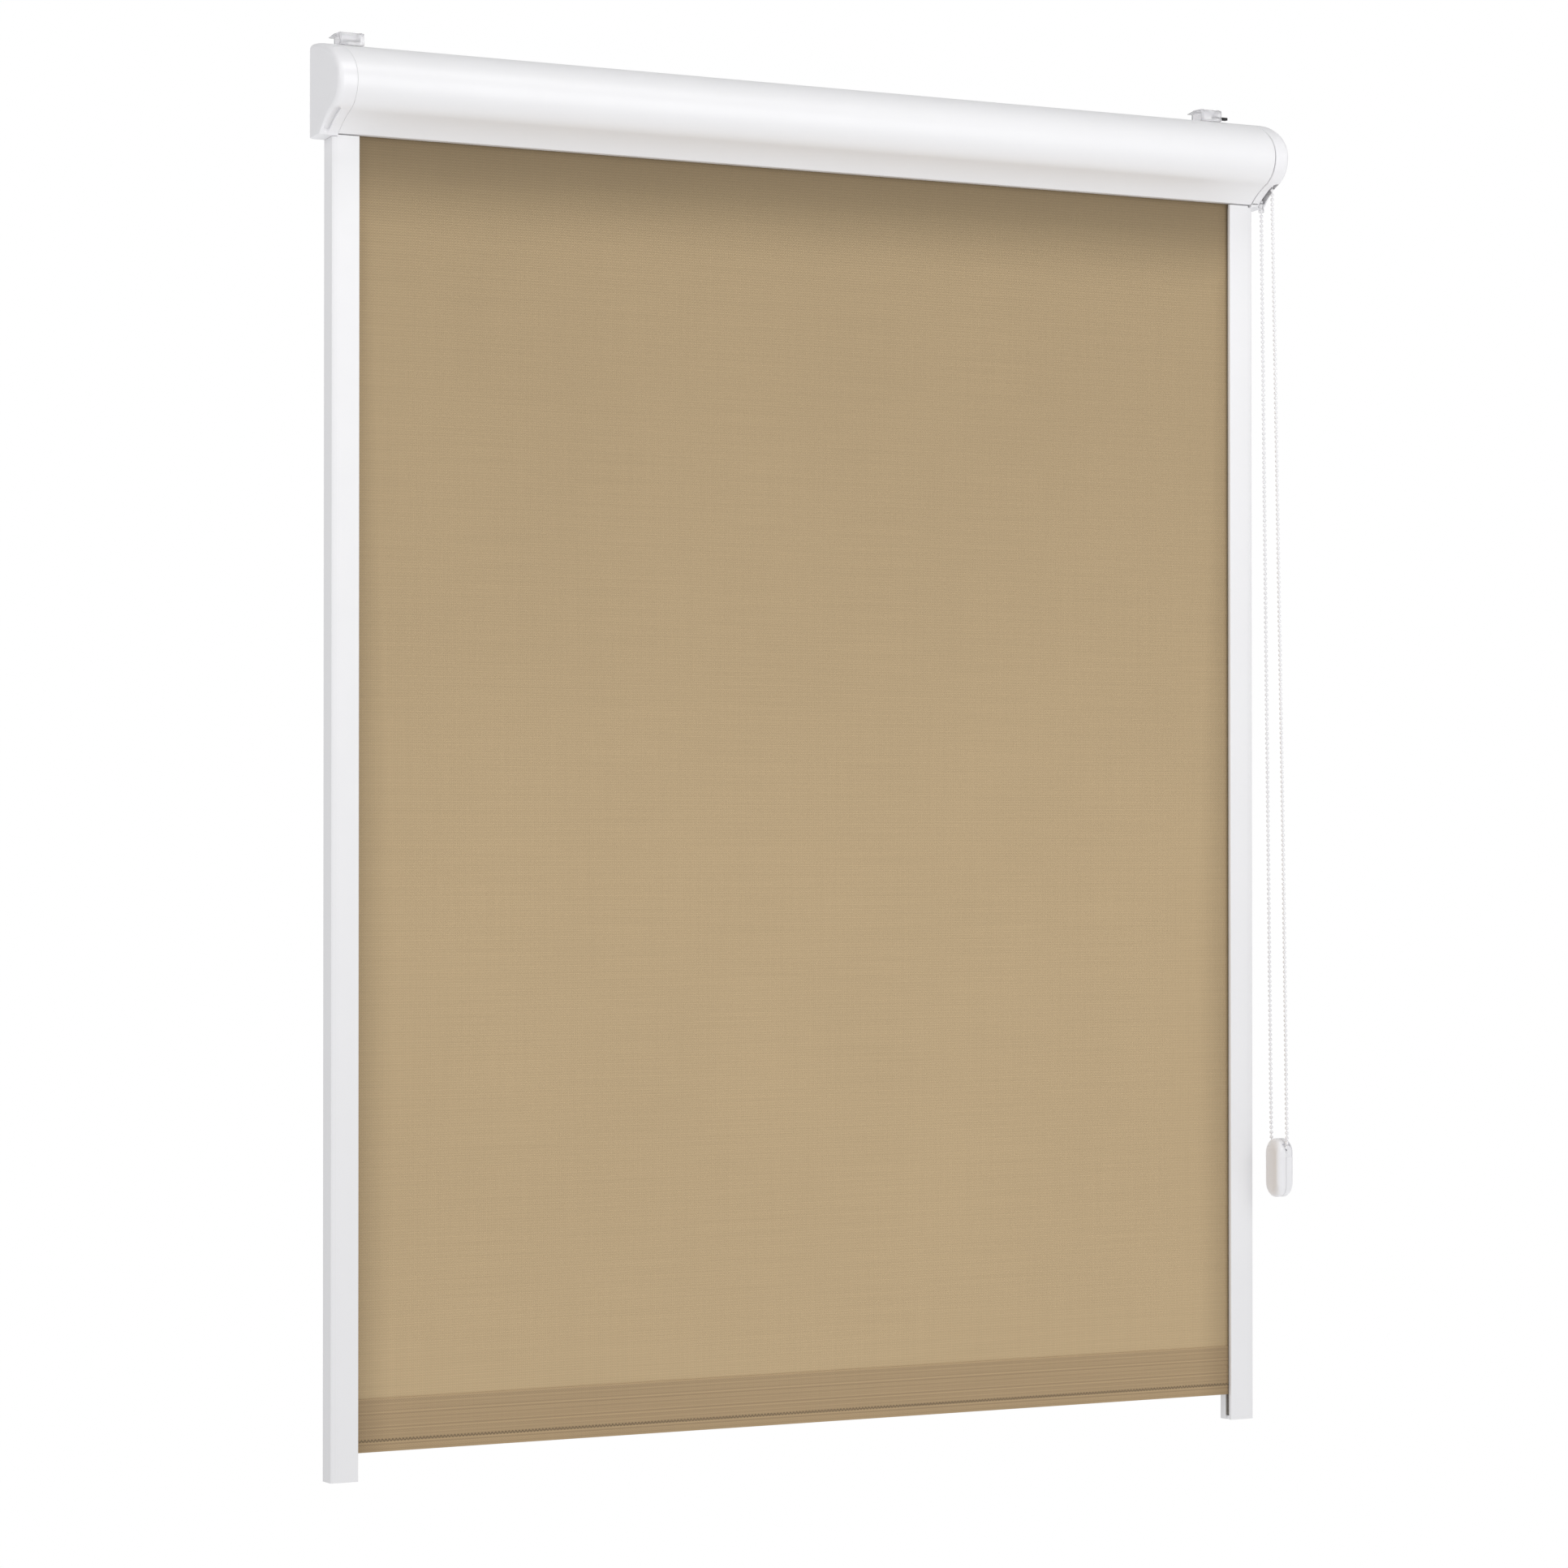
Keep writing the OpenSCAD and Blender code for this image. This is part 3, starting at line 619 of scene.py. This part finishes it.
def connector():
    """Two-lobed clasp: a split sleeve with a waist."""
    outer = [(2.1, -4.2), (2.45, -3.95), (2.72, -3.2), (2.78, -2.4), (2.62, -1.3), (2.32, -0.5), (2.25, 0),
             (2.32, 0.5), (2.62, 1.3), (2.78, 2.4), (2.72, 3.2), (2.45, 3.95), (2.1, 4.2)]
    inner = [(1.9, 4.1), (1.9, -4.1)]
    made = revolve("connector_clasp", outer + inner, (CHAIN_X, -20.6, -40), tilt=-math.atan(1 / 60))
    slit = bar("slit", box_loop(22.0, 26, -46, -34), CHAIN_X - 0.35, CHAIN_X + 0.35)
    carve(made, slit)
    return finish_piece(made, "connector", "white_plastic", "chain_connector")


clasp = connector()

# ---- weight ----------------------------------------------------------------------------------


def capsule(inset, n=26):
    """Outline of the weight; its ends pull in more than its sides."""
    r, straight = WEIGHT_R - inset, WEIGHT_HALF_H - WEIGHT_R - 1.1 * inset
    top, low = (WEIGHT_D, WEIGHT_Z + straight), (WEIGHT_D, WEIGHT_Z - straight)
    return arc(top, r, r, 0, 180, n) + arc(low, r, r, 180, 360, n)


def weight_levels(seam, round_r=4.4, steps=14):
    """(distance from the parting plane, inset) pairs from the seam out to the broad face."""
    levels = [(seam, 0.55), (seam + 0.14, 0.24), (seam + 0.45, 0)]
    for k in range(steps + 1):
        w = math.pi / 2 * k / steps
        levels.append((WEIGHT_HALF_T - 1.2 * round_r * (1 - math.sin(w)), round_r * (1 - math.cos(w))))
    return levels


def chain_channel():
    """Round channel that the chain turns in."""
    steps = 64
    turn = arc((WEIGHT_D, CHANNEL_Z), CHANNEL_TURN_R, CHANNEL_TURN_R, 0, 360, steps)[:-1]
    line = [Vector(point(CHAIN_X, d, z)) for d, z in turn]
    return sweep("channel", line, [CHANNEL_R * MM] * steps, 16, closed=True)


def mouth_recess():
    """Block that leaves a shallow recess beside the mouth of the channel, with a slanting left side."""
    outline = [(CHAIN_X - 1.0, -920.2), (CHAIN_X + 6.6, -920.2), (CHAIN_X + 6.9, -911),
               (CHAIN_X + 4.6, -906.5), (CHAIN_X + 2.6, -908.5)]
    outline = rounded(outline, 1.6, 5)
    block = loft("recess", [[point(x, d, z) for x, z in outline] for d in (48, 62)])
    core = loft("core", [[point(x, d, z) for d, z in capsule(1.3)] for x in (CHAIN_X - 12, CHAIN_X + 12)])
    carve(block, core)
    return block


def weight_half(side):
    """One half of the weight, with a round edge, its share of the channel and the mouth."""
    rings = [[point(CHAIN_X + side * at, d, z) for d, z in capsule(inset)]
             for at, inset in weight_levels(0.14)]
    made = loft(f"weight_{HANDS[side]}_shell", rings)
    carve(made, chain_channel())
    carve(made, mouth_recess())
    # shallow round mouth where the front strand dives in
    carve(made, rod("mouth", (CHAIN_X + 0.2, 63, -903.5), (CHAIN_X - 0.9, 57.4, -910.4), 3.1, 28))
    # moulding marks on the broad face
    for d, z, r in ((52.6, -918.6, 0.5), (50.0, -937.5, 0.6)):
        x0, x1 = sorted((CHAIN_X + side * (WEIGHT_HALF_T - 0.25), CHAIN_X + side * (WEIGHT_HALF_T + 0.5)))
        carve(made, rod("mark", (x0, d, z), (x1, d, z), r, 14))
    return finish_piece(made, "chain", "white_plastic", f"weight_{HANDS[side]}_half")


weights = [weight_half(hand) for hand in HANDS]

# ---- cassette --------------------------------------------------------------------------------

# an edge on the cover and the caps is shaded sharp from this many degrees
SHELL_SHARP = 28


def front_line(t, d0, turn=SLOPE_TURN, foot=None):
    """Outline of the cassette inset by t, from depth d0 at its top to turn degrees down the slope.

    The inset can change on the way down the slope, to foot at its end.
    """
    start = math.degrees(math.acos(d0 / (FRONT_D - t)))
    slope, steps = [], 18
    for k in range(steps + 1):
        inset = t if foot is None else t + (foot - t) * (k / steps) ** 1.5
        angle = SLOPE_START + 1 + (turn - 1) * k / steps
        slope += arc(SLOPE_C, SLOPE_R + inset, SLOPE_R + inset, angle, 0, 0)
    return (arc((0, CROWN_Z), FRONT_D - t, CROWN_H - t, start, 0, 56)
            + arc((NOSE_D, CROWN_Z), NOSE_R - t, NOSE_R - t, -2.5, -NOSE_TURN, 26) + slope)


def cassette_cover():
    """Thin curved cover, hooked at its top and round at its lip."""
    half = COVER_T / 2
    inner_turn = 180 - math.degrees(math.asin((COVER_LIP_Z + COVER_T - SLOPE_C[1]) / (SLOPE_R + COVER_T)))
    inner = front_line(COVER_T, HOOK_D + COVER_T, inner_turn - SLOPE_START)
    loop = front_line(0, HOOK_D)
    lip = len(loop) - 1
    loop += arc((COVER_EDGE_D, COVER_LIP_Z + half), half, half, -90, -270, 10)
    loop += inner[::-1] + [(HOOK_D + COVER_T, HOOK_Z), (HOOK_D, HOOK_Z)]
    loop = rounded(loop, 0.45, 4, only=(0, lip, len(loop) - 1, len(loop) - 2))
    made = bar("cassette_cover", loop, -SEAM_X, SEAM_X, angle=SHELL_SHARP, cuts=8)
    return finish_piece(made, "root", "white_aluminium", "cassette_front")


cassette_cover()


def cap_line(t, b, foot):
    """Outline of a cap inset by t, or by foot at its lip, with its back b from the wall."""
    loop = [(b, BACK_BOTTOM_Z + foot + b * 0.1)] + front_line(t, max(b, 0.01), foot=foot)
    loop += [(LIP_D - foot, LIP_Z + foot)]
    return rounded(loop, 1.1, 4, only=(0, 1, len(loop) - 1))


def slot_loop(side):
    """Round-ended chain slot seen from below, as (x, depth); the idle end's lies further forward."""
    r = SLOT_W / 2
    a, b = SLOT_FROM + SLOT_W / 2, SLOT_TO - SLOT_W / 2 + 1.5
    if side < 0:
        a, b = a + 3, b + 1.5
    return arc((CHAIN_X, b), r, r, 0, 180, 14) + arc((CHAIN_X, a), r, r, 180, 360, 14)


def cap_solid(name, inset, back, levels, fade=1.0):
    """Solid of the cap's outline: levels are (x, further inset), and fade the share of it at the lip."""
    return loft(name, [[point(x, d, z) for d, z in cap_line(inset + more, back, inset + more * fade)]
                       for x, more in levels], SHELL_SHARP)


def cap_body(side):
    """Solid cap with a rounded outer edge and a rim at the seam."""
    fillet = [(HALF_W - CAP_ROUND + CAP_ROUND * math.sin(w), CAP_ROUND * (1 - math.cos(w)))
              for w in (math.pi / 2 * k / 12 for k in range(13))]
    # the drive end stands a little off the cassette and the idle end closes on it
    if side > 0:
        rim = [(1.25, 1.0), (1.5, 0.5), (1.9, 0.14), (2.5, 0)]
    else:
        rim = [(0.12, 0.22), (0.24, 0.08), (0.45, 0)]
    levels = [(SEAM_X + x, inset) for x, inset in rim + [(6, 0)]] + fillet
    return cap_solid(f"{HANDS[side]}_cap_shell", 0, 0, levels, fade=0.16)


def cap_hollow():
    """Inside of a cap, rounded towards its flat face."""
    inside = [(SEAM_X - 2, 0), (474, 0)]
    inside += [(473.5 + 4.5 * math.sin(w), 4 * (1 - math.cos(w)))
               for w in (math.pi / 2 * k / 6 for k in range(1, 7))]
    return cap_solid("hollow", CAP_T + 0.4, CAP_T, inside)


def cap_slot(side):
    """Block that leaves the chain slot in the cap's underside."""
    slot = loft("slot", [[point(x, d, z) for x, d in slot_loop(side)] for z in (-60, 2)])
    if side < 0:
        # the idle end's chain slot is only a blind recess
        carve(slot, cap_solid("floor", 2.1, CAP_T, [(SEAM_X - 2, 0), (HALF_W - 1.4, 0)]))
    return slot


def pin_boss():
    """Tube inside the idle cap that holds the roller's pin."""
    tube = rod("boss", (SEAM_X + 2, AXIS_D, AXIS_Z), (HALF_W - CAP_T + 0.1, AXIS_D, AXIS_Z), 8, 40)
    carve(tube, rod("bore", (SEAM_X + 1, AXIS_D, AXIS_Z), (HALF_W - CAP_T + 0.05, AXIS_D, AXIS_Z), 3.02, 32))
    return tube


def end_cap(side):
    """Moulded end cap, built on the right; the left one is mirrored at the end."""
    made = cap_body(side)
    carve(made, cap_hollow(), angle=SHELL_SHARP)
    carve(made, cap_slot(side), angle=SHELL_SHARP)
    # parting line of the mould across the flat face
    parting = rod("parting", (HALF_W + 0.02, -1, -11), (HALF_W + 0.02, 47, -11), 0.09, 6)
    carve(made, parting, angle=SHELL_SHARP)
    if side > 0:
        slit = bar("slit", box_loop(16.1, 27.5, -36.9, -36.2), SEAM_X + 1.5, CHAIN_X - SLOT_W / 2 - 1.2)
        carve(made, slit, angle=SHELL_SHARP)
    else:
        join(made, pin_boss())
    # a tongue in two steps that reaches into the cover
    for depth, x0, x1 in ((0.15, -7, -0.3), (1.9, -2, 3)):
        tongue = front_line(COVER_T + depth, 22, 10) + front_line(COVER_T + depth + 1.8, 23.8, 10)[::-1]
        join(made, bar("tongue", tongue, SEAM_X + x0, SEAM_X + x1, angle=SHELL_SHARP))
    smooth(made, SHELL_SHARP)
    made.modifiers.new("even_shading", "WEIGHTED_NORMAL").keep_sharp = True
    if side < 0:
        for v in made.data.vertices:
            v.co.x = -v.co.x
        made.data.flip_normals()
    return finish_piece(made, "root", "white_plastic", f"{HANDS[side]}_end_cap")


for hand in HANDS:
    end_cap(hand)

# ---- side rails ------------------------------------------------------------------------------


def rail_cover(side):
    """Snap-on front of a rail: front plate that falls away a little at its outer side, and two legs."""
    a, b, t = RAIL_IN, RAIL_OUT, RAIL_T
    loop = [(a, RAIL_SLOT_FRONT), (a, RAIL_D), (b - 7, RAIL_D), (b - 4.5, RAIL_D - 0.12),
            (b - 2, RAIL_D - 0.45), (b, RAIL_D - 0.95), (b, 0), (b - t, 0), (b - t, RAIL_D - t - 0.7),
            (a + t, RAIL_D - t), (a + t, RAIL_SLOT_FRONT)]
    loop = rounded(loop, 0.55, 5)
    loop = [(side * x, d) for x, d in loop]
    made = bar(f"{HANDS[side]}_rail_front", loop, RAIL_FOOT, RAIL_HEAD, upright=True, angle=30, cuts=12)
    # the outer strip of its head ends under the cap, whose underside slants
    ends = sorted((side * (SEAM_X - 0.4), side * (b + 1)))
    seat = [(-1, BACK_BOTTOM_Z - 0.3), (LIP_D, LIP_Z - 0.2), (LIP_D, RAIL_HEAD + 1), (-1, RAIL_HEAD + 1)]
    carve(made, bar("cap_seat", seat, *ends), angle=30)
    return finish_piece(made, "root", "white_aluminium", f"{HANDS[side]}_rail_cover")


def pile_strips(side):
    """Brush strips on both faces of the fabric slot: rows of short tufts on a backing."""
    strips, tufts, foot = [], 560, RAIL_FOOT + 4
    for face, away in ((RAIL_SLOT_BACK + 0.02, 1), (RAIL_SLOT_FRONT - 0.02, -1)):
        rings = []
        for i in range(tufts):
            z = foot + (RAIL_TOP - foot) * i / (tufts - 1)
            tip = 1.24 if i % 2 else 0.98
            profile = [(0.1, 0), (0.1, tip * 0.8), (0.8, tip), (1.5, tip * 0.93), (2.2, tip),
                       (2.9, tip * 0.8), (2.9, 0)]
            rings.append([point(side * (RAIL_IN + dx), face + away * depth, z) for dx, depth in profile])
        strips.append(loft("strip", rings, 20))
    strips[0].name = f"{HANDS[side]}_pile_strips"
    made = join(*strips)
    return finish_piece(made, "root", "pile", f"{HANDS[side]}_rail_seals")


for hand in HANDS:
    rail_cover(hand)
    pile_strips(hand)

# ---- fabric ----------------------------------------------------------------------------------


def ripple(x, z):
    """Slow unevenness of hanging cloth, fading out at its top, at the hem and at the rails."""
    calm = max(0.0, 1 - abs(x / RAIL_IN) ** 6) * min(1.0, (FEED_Z - z) / 120) * min(1.0, (z - HEM_TOP) / 60)
    return calm * (0.42 * math.sin(x / 71 + 0.7 * math.sin(z / 260)) + 0.30 * math.sin(z / 190 + x / 330))


def hanging_sheet():
    """The cloth between cassette and hem, as two layers joined round their rim."""
    nx, nz = 96, 88
    verts, faces = [], []
    for face in (1, -1):
        for j in range(nz + 1):
            z = HEM_TOP + (FEED_Z - HEM_TOP) * j / nz
            for i in range(nx + 1):
                x = -FABRIC_HALF + 2 * FABRIC_HALF * i / nx
                verts.append(point(x, SHEET_D + face * FABRIC_T / 2 + ripple(x, z), z))
    w, layer = nx + 1, (nx + 1) * (nz + 1)
    for j in range(nz):
        for i in range(nx):
            a = j * w + i
            faces.append((a, a + 1, a + w + 1, a + w))
            faces.append(tuple(layer + v for v in (a, a + w, a + w + 1, a + 1)))
    rim = ([j * w for j in range(nz + 1)] + [nz * w + i for i in range(1, nx + 1)]
           + [j * w + nx for j in range(nz - 1, -1, -1)] + [i for i in range(nx - 1, 0, -1)])
    for a, b in zip(rim, rim[1:] + rim[:1]):
        faces.append((a, b, b + layer, a + layer))
    return finish_piece(new_object("fabric_cloth", verts, faces), "root", "fabric", "fabric_sheet")


def hem_pocket():
    """Doubled hem with a soft fold at the foot and shallow ribs in its weave."""
    half, fold = HEM_T / 2, 1.0
    low, top = HEM_BOTTOM + fold, HEM_TOP + 0.03
    rise = [low + (top - 0.6 - low) * i / 96 for i in range(97)]
    rib_pitch, rib_h = 3.8, 0.05
    ribs = [rib_h * math.sin(2 * math.pi * (z - HEM_BOTTOM) / rib_pitch) for z in rise]
    loop = [(SHEET_D + half - rib_h + r, z) for z, r in zip(rise, ribs)]
    loop += [(SHEET_D + FABRIC_T / 2 + 0.06, top), (SHEET_D - FABRIC_T / 2 - 0.06, top)]
    loop += [(SHEET_D - half + rib_h - r, z) for z, r in reversed(list(zip(rise, ribs)))]
    loop += arc((SHEET_D, low), half - rib_h, fold, 195, 345, 10)
    return bar("hem_pocket", loop, -FABRIC_HALF, FABRIC_HALF, angle=50, cuts=24)


def stitch_row(name, d):
    """Zigzag seam across the hem."""
    step, z = 1.6, HEM_BOTTOM + 9.6
    n = int(2 * (FABRIC_HALF - 1) / step)
    line, radii = [], []
    for i in range(n + 1):
        x = -FABRIC_HALF + 1 + i * step
        line.append(Vector(point(x, d - 0.1, z + (1.25 if i % 2 else -1.25))))
        line.append(Vector(point(x + step / 2, d + 0.12, z)))
        radii += [0.26 * MM, 0.3 * MM]
    return finish_piece(sweep(name, line, radii, 5), "blind", "hem_fabric", material="thread")


def fabric_in_cassette():
    """The stretch that slants from the guide nose to the front of the roll, with an easy bend at its foot."""
    w = math.radians(FEED_ANGLE)
    bend = 3.0
    line = [Vector((SHEET_D, FEED_Z)), Vector((SHEET_D + 0.12, FEED_Z + 0.9)),
            Vector((SHEET_D + 0.75, FEED_Z + 1.9)),
            Vector((SHEET_D + bend * math.cos(w), FEED_Z + 0.15 + bend * math.sin(w) + 0.25))]
    for k in range(1, 13):
        at = bend + (FEED_LEN - bend) * k / 12
        line.append(Vector((SHEET_D + at * math.cos(w), FEED_Z + 0.15 * (1 - k / 12) + at * math.sin(w))))
    front, back = [], []
    for i, p in enumerate(line):
        t = (line[min(i + 1, len(line) - 1)] - line[max(i - 1, 0)]).normalized()
        n = Vector((t.y, -t.x)) * FABRIC_T * 0.48
        front.append(tuple(p + n))
        back.append(tuple(p - n))
    made = bar("fabric_feed_cloth", front + back[::-1], -FABRIC_HALF, FABRIC_HALF, angle=60, cuts=24)
    return finish_piece(made, "root", "fabric", "fabric_feed")


def fabric_on_roller():
    """Almost three turns of cloth wound on the tube, as one spiral ribbon."""
    steps = 56
    outer, inner = [], []
    for i in range(int(ROLL_TURNS * steps) + 1):
        w = math.radians(FEED_ANGLE - 90) + 2 * math.pi * i / steps
        r = ROLL_R - 0.02 - 0.48 * i / steps
        for out, at in ((outer, r), (inner, max(r - 0.44, TUBE_R + 0.02))):
            out.append((AXIS_D + at * math.cos(w), AXIS_Z + at * math.sin(w)))
    made = bar("fabric_turns", outer + inner[::-1], -FABRIC_HALF, FABRIC_HALF, angle=60, cuts=1)
    return finish_piece(made, "roller", "fabric", "fabric_roll")


cloth = hanging_sheet()
hem = finish_piece(hem_pocket(), "blind", "hem_fabric", "fabric_hem")
seams = [stitch_row("hem_stitch_front", SHEET_D + HEM_T / 2),
         stitch_row("hem_stitch_back", SHEET_D - HEM_T / 2)]
fabric_in_cassette()
fabric_on_roller()
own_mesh(cloth)

# ---- brackets --------------------------------------------------------------------------------


def clip_bracket(side):
    """Clear clip: a plate with a thin back edge, a strap and a leg, ribs, a boss and a screw hole."""
    x = BRACKET_X[side]
    loop = [(0, 44.9), (22, 44.9), (22, 38.3), (20.9, 38.0), (20.9, 36.9), (24, 36.9),
            (24, 46.2), (22.8, 47.2), (9.5, 47.2), (0, 45.3)]
    made = bar(f"{HANDS[side]}_clip", rounded(loop, 0.2, 3), x - BRACKET_HALF_W, x + BRACKET_HALF_W,
               edge=0.15)
    pad = rounded([(9, 46.9), (9.6, 48.0), (19, 48.0), (20.4, 46.9)], 0.4, 3)
    parts = [bar("leg", rounded(box_loop(0, 2, 39.1, 45.2), 0.3, 3), x - 6, x + 6),
             bar("pad", pad, x - 6.4, x + 6.4)]
    rib = rounded(box_loop(8.5, 21.5, 46.9, 47.75), 0.2, 2)
    strap_rib = rounded(box_loop(23.8, 24.7, 37.2, 45.8), 0.3, 3)
    for dx in (-9.6, -7.9, 7.9, 9.6):
        parts.append(bar("rib", rib, x + dx - 0.4, x + dx + 0.4))
    for dx in (-9.9, 9.9):
        parts.append(bar("strap_rib", strap_rib, x + dx - 0.5, x + dx + 0.5))
    parts.append(rod("boss", (x + 6.5, 18.6, 41.9), (x + 6.5, 18.6, 46), 3, 28))
    for part in parts:
        carve(made, part, "UNION")
    # the screw's hole and the latch pin's
    for dx, d, r in ((-2, 12, 2.25), (6.5, 18.6, 1.26)):
        carve(made, rod("hole", (x + dx, d, 40), (x + dx, d, 50), r, 28))
    return finish_piece(made, "root", "clear_plastic", f"{HANDS[side]}_bracket")


for hand in HANDS:
    clip_bracket(hand)

# ---- the CAD nodes that stay -----------------------------------------------------------------


def dress_cad_nodes():
    """Gives each CAD node its slot's material, and a few of them a soft edge."""
    slots = {part["node"]: part["material_slot"] for part in frame["record"]["subparts"]}
    soft_edges = ("left_latch", "right_latch", "hem_bar", "left_rail_foot", "right_rail_foot")
    for name, obj in frame["nodes"].items():
        if not obj.material_slots:
            obj.data.materials.append(None)
        for place in obj.material_slots:
            place.link = "OBJECT"
            place.material = MATERIALS[slots[name]]
        if name in soft_edges:
            edge = obj.modifiers.new("edge", "BEVEL")
            edge.width, edge.segments, edge.limit_method = 0.2 * MM, 2, "ANGLE"


dress_cad_nodes()
